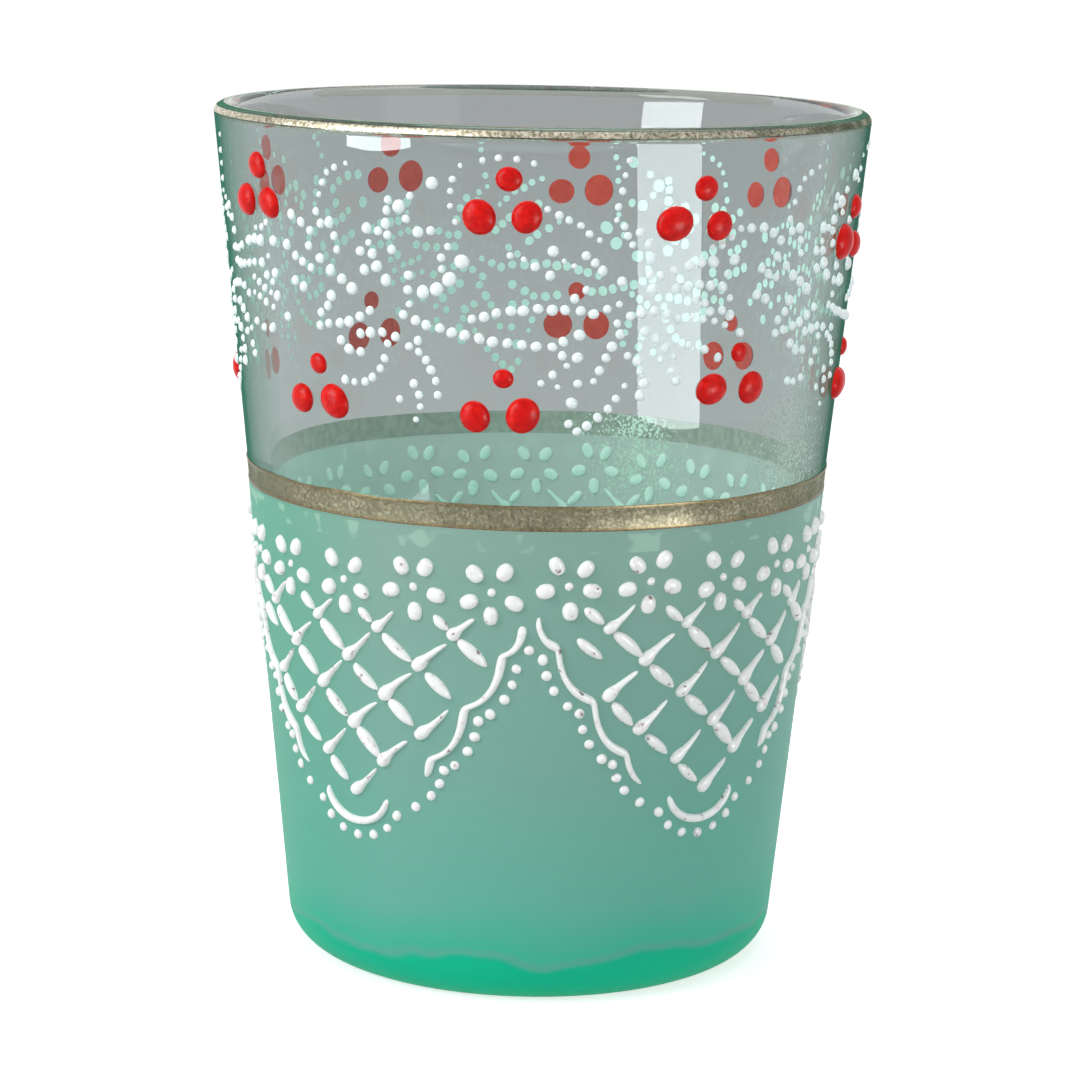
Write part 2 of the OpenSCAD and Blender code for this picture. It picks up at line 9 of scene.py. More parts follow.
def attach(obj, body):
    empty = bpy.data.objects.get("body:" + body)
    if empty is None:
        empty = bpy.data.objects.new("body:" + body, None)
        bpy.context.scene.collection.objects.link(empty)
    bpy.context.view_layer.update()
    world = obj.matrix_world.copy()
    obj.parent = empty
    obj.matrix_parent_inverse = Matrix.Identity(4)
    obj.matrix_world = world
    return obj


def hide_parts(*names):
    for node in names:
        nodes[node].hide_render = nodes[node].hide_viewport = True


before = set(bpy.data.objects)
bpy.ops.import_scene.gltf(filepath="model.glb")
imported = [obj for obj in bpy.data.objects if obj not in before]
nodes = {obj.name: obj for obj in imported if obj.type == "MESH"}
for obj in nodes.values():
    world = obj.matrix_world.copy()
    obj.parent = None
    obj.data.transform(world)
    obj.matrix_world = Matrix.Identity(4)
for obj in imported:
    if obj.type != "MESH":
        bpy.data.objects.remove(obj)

# Moroccan tea glass: clear glass with a green frosted coat on its lower half, two bands of gold
# lustre and raised enamel painted by hand. Sizes are written in millimetres and scaled by mm.
mm = 0.001
scene = bpy.context.scene
scene.view_settings.view_transform = "Standard"
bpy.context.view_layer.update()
print("frame: loaded", len(nodes), "nodes")

# ---- camera and stage ----

# Fitted to the outline of the glass in the photo, in millimetres and degrees
shot = {
    "lens": 111.31, "sensor": 36, "distance": 332.166, "height": 106.997,
    "down": 11.22, "right": 0.0825, "roll": 1.036,
}


def makeCamera():
    camera = bpy.data.objects.new("camera", bpy.data.cameras.new("camera"))
    scene.collection.objects.link(camera)
    camera.data.lens = shot["lens"]
    camera.data.sensor_width = shot["sensor"]
    camera.data.clip_start = 10 * mm
    camera.data.clip_end = 10
    camera.location = (0, -shot["distance"] * mm, shot["height"] * mm)
    camera.rotation_euler = (math.radians(90 - shot["down"]), 0, math.radians(-shot["right"]))
    camera.rotation_euler.rotate_axis("Z", math.radians(shot["roll"]))
    scene.camera = camera


def toLinear(hexColour, alpha=1):
    channels = [int(hexColour[i:i + 2], 16) / 255 for i in (1, 3, 5)]
    return [c / 12.92 if c <= 0.04045 else ((c + 0.055) / 1.055) ** 2.4 for c in channels] + [alpha]


def addNode(tree, kind, settings=None, links=None):
    node = tree.nodes.new("ShaderNode" + kind)
    for key, value in (settings or {}).items():
        if isinstance(key, str) and hasattr(node, key):
            setattr(node, key, value)
        else:
            node.inputs[key].default_value = value
    for key, socket in (links or {}).items():
        tree.links.new(socket, node.inputs[key])
    return node


# A Math node on one to three values, each a number or a socket
def maths(tree, operation, *values, clamp=False):
    fixed = {i: v for i, v in enumerate(values) if isinstance(v, (int, float))}
    linked = {i: v for i, v in enumerate(values) if i not in fixed}
    return addNode(tree, "Math", {"operation": operation, "use_clamp": clamp, **fixed}, linked).outputs[0]


# Blends two colours, each a hex code or a socket
def blend(tree, share, first, second):
    fixed, linked = {"data_type": "RGBA"}, {0: share}
    for key, colour in ((6, first), (7, second)):
        if isinstance(colour, str):
            fixed[key] = toLinear(colour)
        else:
            linked[key] = colour
    return addNode(tree, "Mix", fixed, linked).outputs[2]


# Turns the values from low to high into least to most, and holds them beyond those ends
def spread(tree, value, low, high, most=1, least=0):
    return addNode(tree, "MapRange", {"From Min": low, "From Max": high, "To Min": least, "To Max": most},
                   {"Value": value}).outputs[0]


def startTree(owner):
    owner.use_nodes = True
    owner.node_tree.nodes.clear()
    return owner.node_tree


# White wherever a ray looks straight at it, in a mirror or through glass
def seenDirectly(tree):
    path = addNode(tree, "LightPath").outputs
    mirrored = maths(tree, "ADD", path["Is Camera Ray"], path["Is Glossy Ray"])
    return maths(tree, "ADD", mirrored, path["Is Transmission Ray"], clamp=True)


studio = {
    "ambient": "#CBD1D3", "backdrop": "#FFFFFF", "floor": "#CCCCCC", "floorGlow": 0.68,
    "floorSize": 8000,
}


def makeWorld():
    world = bpy.data.worlds.new("studio")
    scene.world = world
    tree = startTree(world)
    tint = blend(tree, seenDirectly(tree), studio["ambient"], studio["backdrop"])
    light = addNode(tree, "Background", {"Strength": 1}, {"Color": tint})
    addNode(tree, "OutputWorld", {}, {"Surface": light.outputs[0]})


def makeFloor():
    bm = bmesh.new()
    bmesh.ops.create_grid(bm, x_segments=1, y_segments=1, size=studio["floorSize"] * mm / 2)
    mesh = bpy.data.meshes.new("floor")
    bm.to_mesh(mesh)
    bm.free()
    floor = bpy.data.objects.new("floor", mesh)
    scene.collection.objects.link(floor)
    paper = bpy.data.materials.new("white seamless paper")
    tree = startTree(paper)
    lit = addNode(tree, "BsdfDiffuse", {"Color": toLinear(studio["floor"])})
    level = maths(tree, "MULTIPLY", seenDirectly(tree), studio["floorGlow"])
    glow = addNode(tree, "Emission", {}, {"Strength": level})
    both = addNode(tree, "AddShader", {}, {0: lit.outputs[0], 1: glow.outputs[0]})
    addNode(tree, "OutputMaterial", {}, {"Surface": both.outputs[0]})
    mesh.materials.append(paper)


# Each lamp is an area light: where it stands, where it points, its sides, and its brightness,
# where 1 is as bright as white paper.
lamps = {
    "key": {"at": (-680, -420, 560), "to": (0, 0, 45), "size": (420, 420), "bright": 8.3},
    "fill": {"at": (620, -520, 320), "to": (0, 0, 45), "size": (500, 500), "bright": 0.65},
    "top": {"at": (60, 160, 700), "to": (0, 0, 45), "size": (500, 500), "bright": 2},
}
# Each card shows only as a highlight. It stands cardReach from the axis, and its four corners are
# turns round the glass and heights.
cardReach = 140
cards = {
    "windowCard": {"corners": ((28, 60), (49, 60), (58, 19), (34, 19)), "bright": 14},
    "farCard": {"corners": ((-45, 107), (-73, 107), (-72, 95), (-43, 95)), "bright": 19},
    "stripCard": {"corners": ((-62.7, 62), (-40.6, 62), (-40.8, 54.2), (-63.1, 56)), "bright": 24},
    "bandCard": {"corners": ((-80, 10), (-38, 10), (-38, 4), (-80, 4)), "bright": 8},
}


def makeLamp(name, lamp):
    light = bpy.data.lights.new(name, "AREA")
    light.shape = "RECTANGLE"
    light.size, light.size_y = (s * mm for s in lamp["size"])
    light.energy = lamp["bright"] * math.pi * light.size * light.size_y
    holder = bpy.data.objects.new(name, light)
    scene.collection.objects.link(holder)
    holder.location = Vector(lamp["at"]) * mm
    aim = Vector(lamp["to"]) - Vector(lamp["at"])
    holder.rotation_euler = aim.to_track_quat("-Z", "Y").to_euler()
    holder.visible_camera = False


def makeCard(name, card):
    def corner(turn, z):
        angle = math.radians(turn)
        return Vector((math.sin(angle) * cardReach, -math.cos(angle) * cardReach, z)) * mm

    bm = bmesh.new()
    bm.faces.new([bm.verts.new(corner(turn, z)) for turn, z in card["corners"]])
    mesh = bpy.data.meshes.new(name)
    bm.to_mesh(mesh)
    bm.free()
    lit = bpy.data.materials.new(name + " paper")
    tree = startTree(lit)
    glow = addNode(tree, "Emission", {"Strength": card["bright"]})
    addNode(tree, "OutputMaterial", {}, {"Surface": glow.outputs[0]})
    mesh.materials.append(lit)
    board = bpy.data.objects.new(name, mesh)
    scene.collection.objects.link(board)
    board.visible_camera = board.visible_diffuse = False
    board.visible_transmission = board.visible_shadow = False


makeCamera()
makeWorld()
makeFloor()
for name, lamp in lamps.items():
    makeLamp(name, lamp)
for name, card in cards.items():
    makeCard(name, card)
print("stage: camera, floor and lamps")


# ---- materials ----

def startMaterial(name):
    material = bpy.data.materials.new(name)
    tree = startTree(material)
    return material, tree, addNode(tree, "TexCoord").outputs["Object"]


# Noise whose lumps are about size millimetres across
def lumps(tree, place, size, detail=2, rough=0.5):
    return addNode(tree, "TexNoise", {"Scale": 1 / (size * mm), "Detail": detail, "Roughness": rough},
                   {"Vector": place}).outputs["Fac"]


def ramp(tree, fac, stops):
    node = addNode(tree, "ValToRGB", {}, {"Fac": fac})
    elements = node.color_ramp.elements
    elements[-1].position, elements[-1].color = stops[-1][0], toLinear(stops[-1][1])
    elements[0].position, elements[0].color = stops[0][0], toLinear(stops[0][1])
    for position, colour in stops[1:-1]:
        elements.new(position).color = toLinear(colour)
    return node.outputs["Color"]


def bump(tree, height, depth):
    node = addNode(tree, "Bump", {"Strength": 1, "Distance": depth * mm}, {"Height": height})
    return node.outputs["Normal"]


# A speck shows where the noise passes "from" and is whole at "full". The noise is raised by
# "crowding" at the middle of the patch, and nothing shows where it is raised by less than "least".
speckle = {"from": 0.7, "full": 0.76, "crowding": 0.26, "least": 0.02}


# Specks about size millimetres across, crowded at a place of the wall and gone at reach from it
def specks(tree, place, turn, radius, z, reach, size):
    angle = math.radians(turn)
    middle = Vector((math.sin(angle) * radius, -math.cos(angle) * radius, z)) * mm
    away = addNode(tree, "VectorMath", {"operation": "DISTANCE", 1: middle}, {0: place})
    near = spread(tree, away.outputs["Value"], reach * mm, 0, speckle["crowding"])
    both = maths(tree, "ADD", near, lumps(tree, place, size, 1))
    spots = spread(tree, both, speckle["from"], speckle["full"])
    return maths(tree, "MULTIPLY", spots, maths(tree, "GREATER_THAN", near, speckle["least"]))


# Soda-lime glass, pressed and fire polished: clear and glossy. Where it is looked through it is
# painted grey, a painted shade for the dim room behind it, and seen edge on it is painted dark green.
# The grey is taken once a wall, where the light leaves through the outer skin. Its reflections are
# tinted grey-blue, a painted shade for the dimmer room they show. Densities are per metre.
glassLook = {
    "throughShade": "#5E5A5C", "gloss": "#C8D2D4", "depth": "#7CE3CA", "density": 60, "straight": "#FDFFFE",
    "waveSize": 22, "waveDepth": 0.05, "edge": "#296E58", "edgeFrom": 0.5, "edgeTo": 0.86,
    "edgeShare": 0.95, "mist": "#C4D8C8",
}


def makeGlass():
    look = glassLook
    material, tree, place = startMaterial("soda-lime glass")
    wave = lumps(tree, place, look["waveSize"], 1)
    skin = addNode(tree, "Attribute", {"attribute_name": "outerSkin"}).outputs["Fac"]
    # Painted shade: grey where the light leaves through the outer skin, for the dim room seen through
    leaving = maths(tree, "MULTIPLY", skin, addNode(tree, "NewGeometry").outputs["Backfacing"])
    body = addNode(tree, "BsdfPrincipled", {
        "Roughness": 0, "IOR": 1.5, "Transmission Weight": 1, "Specular Tint": toLinear(look["gloss"]),
    }, {"Base Color": blend(tree, leaving, "#FFFFFF", look["throughShade"]),
        "Normal": bump(tree, wave, look["waveDepth"])})
    # Painted shade: seen edge on, the wall is painted dark green. A mist of overspray has settled on it
    # at the right.
    facing = addNode(tree, "LayerWeight", {"Blend": 0.5}).outputs["Facing"]
    edge = spread(tree, facing, look["edgeFrom"], look["edgeTo"], look["edgeShare"])
    mist = specks(tree, place, turn=56, radius=29.5, z=53, reach=9, size=0.4)
    shown = maths(tree, "MULTIPLY", skin, maths(tree, "MAXIMUM", edge, mist))
    caught = addNode(tree, "BsdfDiffuse", {}, {"Color": blend(tree, mist, look["edge"], look["mist"])})
    seen = addNode(tree, "MixShader", {}, {0: shown, 1: body.outputs[0], 2: caught.outputs[0]})
    # Shadows and stray light go straight through, so that what is behind the glass is lit
    passed = addNode(tree, "BsdfTransparent", {"Color": toLinear(look["straight"])})
    path = addNode(tree, "LightPath").outputs
    straight = maths(tree, "MAXIMUM", path["Is Shadow Ray"], path["Is Diffuse Ray"])
    both = addNode(tree, "MixShader", {}, {0: straight, 1: seen.outputs[0], 2: passed.outputs[0]})
    depth = addNode(tree, "VolumeAbsorption",
                    {"Color": toLinear(look["depth"]), "Density": look["density"]})
    addNode(tree, "OutputMaterial", {}, {"Surface": both.outputs[0], "Volume": depth.outputs[0]})
    return material


# Sprayed lacquer with a frosted finish: satin, milky and lit through. The stops are its colour from
# the foot up to "stopsTo", with painted light: deep emerald at the foot, where light comes up through
# the thick glass base, up to a line that waves up and down and drops to the right, and paler above.
coatLook = {
    "stops": [(0.0, "#00E0B5"), (0.08, "#02D7AF"), (0.092, "#78CCB9"), (0.108, "#58D5B9"),
              (0.2, "#81D1BE"), (0.5, "#97CABD"), (1.0, "#A6C7BB")],
    "stopsTo": 50, "waves": 9, "waveSize": 16, "slope": 0.08,
    "thick": "#1ACAA2", "leftShadeFrom": -14, "leftShadeTo": -28, "leftShadeShare": 0.5,
    "petalReflection": "#CAEFDC", "petalReflectionSize": 2.4, "petalReflectionFrom": 0.54, "petalReflectionTo": 0.6, "petalReflectionShare": 0.5,
    "petalReflectionAt": 46.4, "petalReflectionReach": 0.9,
    "inside": "#F8E4EB", "glints": "#FFFFF4", "grainSize": 0.35, "grainDepth": 0.01,
}


def makeCoat():
    look = coatLook
    material, tree, place = startMaterial("frosted green lacquer")
    split = addNode(tree, "SeparateXYZ", {}, {"Vector": place}).outputs
    lift = maths(tree, "MULTIPLY_ADD", lumps(tree, place, look["waveSize"]),
                 look["waves"] * mm, -look["waves"] / 2 * mm)
    level = maths(tree, "MULTIPLY_ADD", split["X"], -look["slope"], lift)
    # Painted light: the colour runs from deep emerald at the foot, lit up through the base, to paler
    # above
    share = spread(tree, maths(tree, "ADD", split["Z"], level), 0, look["stopsTo"] * mm)
    colour = ramp(tree, share, look["stops"])
    # Painted shade: the coat is made deeper green on the left, where the front view sees it edge on
    thick = spread(tree, split["X"], look["leftShadeFrom"] * mm, look["leftShadeTo"] * mm, look["leftShadeShare"])
    colour = blend(tree, thick, colour, look["thick"])
    # Painted reflection: pale blotches close under the waist band, where the petals show mirrored inside
    # the glass
    petalReflection = spread(tree, lumps(tree, place, look["petalReflectionSize"], 1), look["petalReflectionFrom"], look["petalReflectionTo"],
                    look["petalReflectionShare"])
    under = maths(tree, "COMPARE", split["Z"], look["petalReflectionAt"] * mm, look["petalReflectionReach"] * mm)
    colour = blend(tree, maths(tree, "MULTIPLY", petalReflection, under), colour, look["petalReflection"])
    # Painted light: the side that clings to the glass is made paler, with painted glints at the far right
    inside = addNode(tree, "Attribute", {"attribute_name": "glassSide"}).outputs["Fac"]
    colour = blend(tree, inside, colour, look["inside"])
    # Painted glints: pale specks at the far right, where the window highlight falls
    glints = specks(tree, place, turn=156, radius=28.4, z=45, reach=9, size=0.32)
    colour = blend(tree, maths(tree, "MULTIPLY", glints, inside), colour, look["glints"])
    grain = lumps(tree, place, look["grainSize"])
    body = addNode(tree, "BsdfPrincipled", {
        "Roughness": 0.42, "IOR": 1.45, "Specular IOR Level": 0.4,
    }, {"Base Color": colour, "Normal": bump(tree, grain, look["grainDepth"])})
    through = addNode(tree, "BsdfTranslucent", {}, {"Color": colour})
    both = addNode(tree, "MixShader", {0: 0.5}, {1: body.outputs[0], 2: through.outputs[0]})
    addNode(tree, "OutputMaterial", {}, {"Surface": both.outputs[0]})
    return material


# Fired gold lustre, brushed on: a metal film so thin that the glass shows through, with flecks.
# Between the two heights of shows, the share of it that is clear lies between the two numbers of
# clear. Above and below those heights it is worn nearly away.
filmLook = {
    "fleckSize": 0.3, "fleckDepth": 0.015, "rough": (0.28, 0.5), "cloudSize": 3.5, "cloud": (0.3, 0.7),
    "rightThinningFrom": -10, "rightThinningTo": 30, "worn": 0.96, "wornShade": "#F8F8F4", "shade": "#D0D2C0",
}


def makeGold(name, stops, shows, clear, rightThinning=0):
    look = filmLook
    material, tree, place = startMaterial(name)
    fleck = lumps(tree, place, look["fleckSize"], 3, 0.6)
    cloud = lumps(tree, place, look["cloudSize"])
    rough = spread(tree, fleck, 0, 1, look["rough"][1], look["rough"][0])
    body = addNode(tree, "BsdfPrincipled", {"Metallic": 1},
                   {"Base Color": ramp(tree, fleck, stops), "Roughness": rough,
                    "Normal": bump(tree, fleck, look["fleckDepth"])})
    split = addNode(tree, "SeparateXYZ", {}, {"Vector": place}).outputs
    kept = maths(tree, "COMPARE", split["Z"], (shows[0] + shows[1]) / 2 * mm,
                 (shows[1] - shows[0]) / 2 * mm)
    # The film is made thinner and clearer towards the right
    cover = spread(tree, cloud, *look["cloud"], clear[1], clear[0])
    thinnedRight = spread(tree, split["X"], look["rightThinningFrom"] * mm, look["rightThinningTo"] * mm, rightThinning)
    thin = maths(tree, "ADD", cover, thinnedRight, clamp=True)
    worn = addNode(tree, "Mix", {"data_type": "FLOAT", 2: look["worn"]}, {0: kept, 3: thin})
    shade = blend(tree, kept, look["wornShade"], look["shade"])
    film = addNode(tree, "BsdfTransparent", {}, {"Color": shade})
    both = addNode(tree, "MixShader", {}, {0: worn.outputs[0], 1: body.outputs[0], 2: film.outputs[0]})
    addNode(tree, "OutputMaterial", {}, {"Surface": both.outputs[0]})
    return material


# Raised glass enamel, laid on with a nozzle and fired: opaque and glossy, slightly uneven
def makeEnamel(name, stops, rough, shine, lit, depth, size):
    material, tree, place = startMaterial(name)
    uneven = lumps(tree, place, size)
    colour = ramp(tree, uneven, stops)
    body = addNode(tree, "BsdfPrincipled", {
        "Roughness": rough, "IOR": 1.5, "Specular IOR Level": shine,
    }, {"Base Color": colour, "Normal": bump(tree, uneven, depth)})
    through = addNode(tree, "BsdfTranslucent", {}, {"Color": colour})
    both = addNode(tree, "MixShader", {0: lit}, {1: body.outputs[0], 2: through.outputs[0]})
    addNode(tree, "OutputMaterial", {}, {"Surface": both.outputs[0]})
    return material


# The back of the enamel and the gold, where it is fused to the glass or the coat, as seen through
# them
def makeBack(name, low, high, glints=None):
    material, tree, place = startMaterial(name)
    colour = ramp(tree, lumps(tree, place, 0.8, 1), [(0.3, low), (0.7, high)])
    # Painted glints: bright specks on the gold's back, where the window highlight falls
    if glints:
        caught = specks(tree, place, turn=157, radius=28.8, z=48.8, reach=8, size=0.32)
        colour = blend(tree, caught, colour, glints)
    body = addNode(tree, "BsdfPrincipled", {"Roughness": 0.8, "IOR": 1.5, "Specular IOR Level": 0.05},
                   {"Base Color": colour})
    addNode(tree, "OutputMaterial", {}, {"Surface": body.outputs[0]})
    return material


glassMaterial = makeGlass()
coatMaterial = makeCoat()
waistGold = makeGold("fired gold lustre", [(0.35, "#7A7662"), (0.5, "#9C967E"), (0.66, "#D0C8AE")],
                     shows=(40, 60), clear=(0.58, 0.8))
edgeGold = makeGold("thick gold lustre", [(0.3, "#60563E"), (0.7, "#94886A")],
                    shows=(40, 60), clear=(0.2, 0.45))
lipGold = makeGold("worn gold lustre", [(0.35, "#857F68"), (0.5, "#D2C9B0"), (0.64, "#FFF8E8")],
                   shows=(84.15, 84.7), clear=(0.02, 0.4), rightThinning=0.6)
lipBack = makeGold("worn gold lustre against the glass",
                   [(0.3, "#2C3A36"), (0.5, "#44544E"), (0.72, "#6A7A74")],
                   shows=(84, 84.85), clear=(0, 0.2), rightThinning=0.2)
redMaterial = makeEnamel("red glass enamel", [(0.3, "#D40400"), (0.55, "#EC0C06"), (0.8, "#FF2214")],
                         rough=0.32, shine=0.18, lit=0.15, depth=0.06, size=0.7)
paleMaterial = makeEnamel("bluish white glass enamel", [(0.3, "#F0FAFC"), (0.6, "#FAFFFF")],
                          rough=0.3, shine=0.45, lit=0, depth=0.03, size=0.6)
# Its dark stops are small burst bubbles
whiteMaterial = makeEnamel("off-white glass enamel",
                           [(0.27, "#8E8078"), (0.33, "#F0E8E6"), (0.45, "#FCFAF8"), (0.7, "#FFFFFC")],
                           rough=0.3, shine=0.45, lit=0, depth=0.05, size=0.7)
goldBack = makeBack("gold lustre against the glass", "#A8A09C", "#C4BAB4", glints="#FFFFF8")
redBack = makeBack("red enamel against the glass", "#DD2D1A", "#ED4026")
paleBack = makeBack("bluish white enamel against the glass", "#F0FFFC", "#F8FFFF")
whiteBack = makeBack("off-white enamel against the coat", "#F4FFFA", "#FFFFFF")
print("materials: made")


# ---- the glass, its coat and its gold ----

glass = {
    "height": 85, "rimRadius": 32.5, "footLineRadius": 24.65, "footRound": 4.0, "wall": 2.2, "floor": 7,
    "innerRound": 5, "rings": (30, 50, 66, 83.4), "footRing": 8, "pastRound": 0.3, "around": 256,
    "roundSegments": 12,
}
slantRise = glass["height"] - glass["footRound"]
slantRun = glass["rimRadius"] - glass["footLineRadius"]
lean = math.atan(slantRun / slantRise)
quarterTurn = math.pi / 2


# The radius of the slanted side at a height, or of a surface off millimetres outside it
def sideRadius(z, off=0):
    rise = (z - glass["footRound"]) / slantRise
    return glass["footLineRadius"] + slantRun * rise + off / math.cos(lean)


# Turns a line of [radius, height] places into a round shape
def spinLine(line, closed=False):
    bm = bmesh.new()
    corners = [bm.verts.new((r * mm, 0, z * mm)) for r, z in line]
    for a, b in zip(corners, corners[1:]):
        bm.edges.new((a, b))
    if closed:
        bm.edges.new((corners[-1], corners[0]))
    bmesh.ops.spin(bm, geom=bm.verts[:] + bm.edges[:], cent=(0, 0, 0), axis=(0, 0, 1),
                   angle=2 * math.pi, steps=glass["around"], use_merge=True)
    bmesh.ops.remove_doubles(bm, verts=bm.verts, dist=0.001 * mm)
    return bm


# Rounds the ring at a [radius, height] place, where the surface turns by turn, to a radius
def roundRing(bm, place, turn, radius):
    r, z = place[0] * mm, place[1] * mm
    ring = [e for e in bm.edges if all(
        abs(v.co.z - z) < 0.01 * mm and abs(v.co.xy.length - r) < 0.01 * mm for v in e.verts)]
    bmesh.ops.bevel(bm, geom=ring, offset=radius * math.tan(turn / 2) * mm, offset_type="OFFSET",
                    segments=glass["roundSegments"], profile=0.5, affect="EDGES", material=-1)


# Rings across a wall keep its shading straight between the rounded ends
def addRings(bm, heights):
    for z in heights:
        bmesh.ops.bisect_plane(bm, geom=bm.verts[:] + bm.edges[:] + bm.faces[:],
                               plane_co=(0, 0, z * mm), plane_no=(0, 0, 1))


sharpTurn = math.radians(50)  # a steeper edge than this stays crisp


def makePiece(name, bm, materials, slot, *replaced):
    bmesh.ops.recalc_face_normals(bm, faces=bm.faces)
    mesh = bpy.data.meshes.new(name)
    bm.to_mesh(mesh)
    bm.free()
    mesh.shade_smooth()
    mesh.set_sharp_from_angle(angle=sharpTurn)
    for material in materials:
        mesh.materials.append(material)
    piece = bpy.data.objects.new(name, mesh)
    scene.collection.objects.link(piece)
    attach(piece, "root")
    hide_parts(*replaced)
    return piece


# Whether a place on the glass, in millimetres, is on its inner side
def isInside(place):
    return place.z > glass["floor"] - 0.1 and place.xy.length < sideRadius(place.z, -glass["wall"] / 2)


def makeTumbler():
    wallFlat = glass["wall"] / math.cos(lean)
    foot = (sideRadius(0), 0)
    rim = (sideRadius(glass["height"]), glass["height"])
    lip = (rim[0] - wallFlat, glass["height"])
    inner = (sideRadius(glass["floor"]) - wallFlat, glass["floor"])
    bm = spinLine([(0, 0), foot, rim, lip, inner, (0, glass["floor"])])
    # The lip is all but half round, so that its two rounded edges don't quite meet
    lipRound = glass["wall"] / 2 * 0.998
    roundRing(bm, foot, quarterTurn - lean, glass["footRound"])
    roundRing(bm, rim, quarterTurn + lean, lipRound)
    roundRing(bm, lip, quarterTurn - lean, lipRound)
    roundRing(bm, inner, quarterTurn - lean, glass["innerRound"])
    addRings(bm, (glass["footRound"] + glass["pastRound"], glass["footRing"],
                  glass["floor"] + glass["innerRound"] + glass["pastRound"], *glass["rings"]))
    skin = bm.faces.layers.float.new("outerSkin")
    for f in bm.faces:
        f[skin] = 0 if isInside(f.calc_center_median() / mm) else 1
    return makePiece("tumbler_body", bm, [glassMaterial], "clear_glass", "glass_tumbler")


# The coat and the gold start at their seat, a little inside the glass's side, so that no gap shows
coat = {
    "seat": -0.03, "thick": 0.15, "top": 47.6, "onFlat": 2, "insideShare": 0.92, "rings": (16, 32, 46),
}


def makeCoatShell():
    foot = (sideRadius(0), 0)
    start = glass["footLineRadius"] - glass["footRound"] / math.cos(lean)
    bm = spinLine([(start - coat["onFlat"], 0), foot, (sideRadius(coat["top"]), coat["top"])])
    roundRing(bm, foot, quarterTurn - lean, glass["footRound"])
    flat = [f for f in bm.faces if all(v.co.z < 0.001 * mm for v in f.verts)]
    bmesh.ops.delete(bm, geom=flat, context="FACES")
    addRings(bm, (glass["footRound"] + glass["pastRound"], *coat["rings"]))
    bmesh.ops.recalc_face_normals(bm, faces=bm.faces)
    if sum(f.normal.xy.dot(f.calc_center_median().xy) for f in bm.faces) < 0:
        bmesh.ops.reverse_faces(bm, faces=bm.faces)
    for v in bm.verts:
        v.co += v.normal * coat["seat"] * mm
    bmesh.ops.solidify(bm, geom=bm.faces[:], thickness=-coat["thick"] * mm)
    bmesh.ops.recalc_face_normals(bm, faces=bm.faces)
    clings = bm.faces.layers.float.new("glassSide")
    for f in bm.faces:
        outward = f.calc_center_median().xy.normalized()
        isInner = f.normal.dot(Vector((outward.x, outward.y, -1))) < -0.5
        f[clings] = coat["insideShare"] if isInner else 0
    for v in bm.verts:
        v.co.z = max(v.co.z, 0)
    return makePiece("frosted_coat", bm, [coatMaterial], "green_frosted_coat", "green_coat")


gold = {
    "seat": -0.03, "thick": 0.1, "waist": (47.6, 50.0), "lipTurn": 100, "ridge": 0.34, "ridgeRise": 0.06,
    "wobble": 0.16, "lowWobble": 0.3, "wobbleSize": 7,
}


# A brush line is never quite even: how far off a place on it is in height, up to wobble
def wobbleAt(v, seed):
    place = Vector((v.co.x, v.co.y, seed * 10 * mm)) / (gold["wobbleSize"] * mm)
    return noise.noise(place) * gold["wobble"] * mm


# The brush leaves a low ridge of lustre along both edges of the waist band
def makeWaistBand():
    low, high = gold["waist"]
    ridge, rise = gold["ridge"], gold["ridgeRise"]
    near, far = gold["seat"], gold["seat"] + gold["thick"]
    outer = [(low, far), (low + ridge / 2, far + rise), (low + ridge, far), (high - ridge, far),
             (high - ridge / 2, far + rise), (high, far)]
    bm = spinLine([(sideRadius(low, near), low), *((sideRadius(z, off), z) for z, off in outer),
                   (sideRadius(high, near), high)], closed=True)
    for v in bm.verts:
        isLow = v.co.z < (low + high) / 2 * mm
        v.co.z += wobbleAt(v, 1) * gold["lowWobble"] if isLow else wobbleAt(v, 5)
    bmesh.ops.recalc_face_normals(bm, faces=bm.faces)
    for f in bm.faces:
        middle = f.calc_center_median()
        isBack = f.normal.xy.dot(middle.xy) < 0 and abs(f.normal.z) < 0.5
        fromMiddle = abs(middle.z - (low + high) / 2 * mm)
        isEdge = fromMiddle > ((high - low) / 2 - ridge) * mm
        f.material_index = 1 if isBack else 2 if isEdge else 0
    return makePiece("waist_gold", bm, [waistGold, goldBack, edgeGold], "gold_lustre",
                     "gold_waist_band")


def makeLipBand():
    radius = glass["wall"] / 2
    lipZ = glass["height"] - radius
    lipX = sideRadius(lipZ) - radius / math.cos(lean)
    near, far = radius + gold["seat"], radius + gold["seat"] + gold["thick"]
    last = math.radians(gold["lipTurn"])

    def arc(r, first, last):
        steps = glass["roundSegments"]
        angles = [first + (last - first) * i / steps for i in range(steps + 1)]
        return [(lipX + r * math.cos(a), lipZ + r * math.sin(a)) for a in angles]

    bm = spinLine([*arc(far, -lean, last), *arc(near, last, -lean)], closed=True)
    bmesh.ops.recalc_face_normals(bm, faces=bm.faces)
    for f in bm.faces:
        middle = f.calc_center_median()
        outward = Vector((middle.xy.length - lipX * mm, middle.z - lipZ * mm))
        facing = Vector((f.normal.xy.dot(middle.xy.normalized()), f.normal.z))
        f.material_index = 1 if facing.dot(outward) < 0 else 0
    return makePiece("lip_gold", bm, [lipGold, lipBack], "gold_lustre", "gold_lip_band")


makeTumbler()
makeCoatShell()
makeWaistBand()
makeLipBand()
print("glass, coat and gold: made")


# ---- raised enamel ----

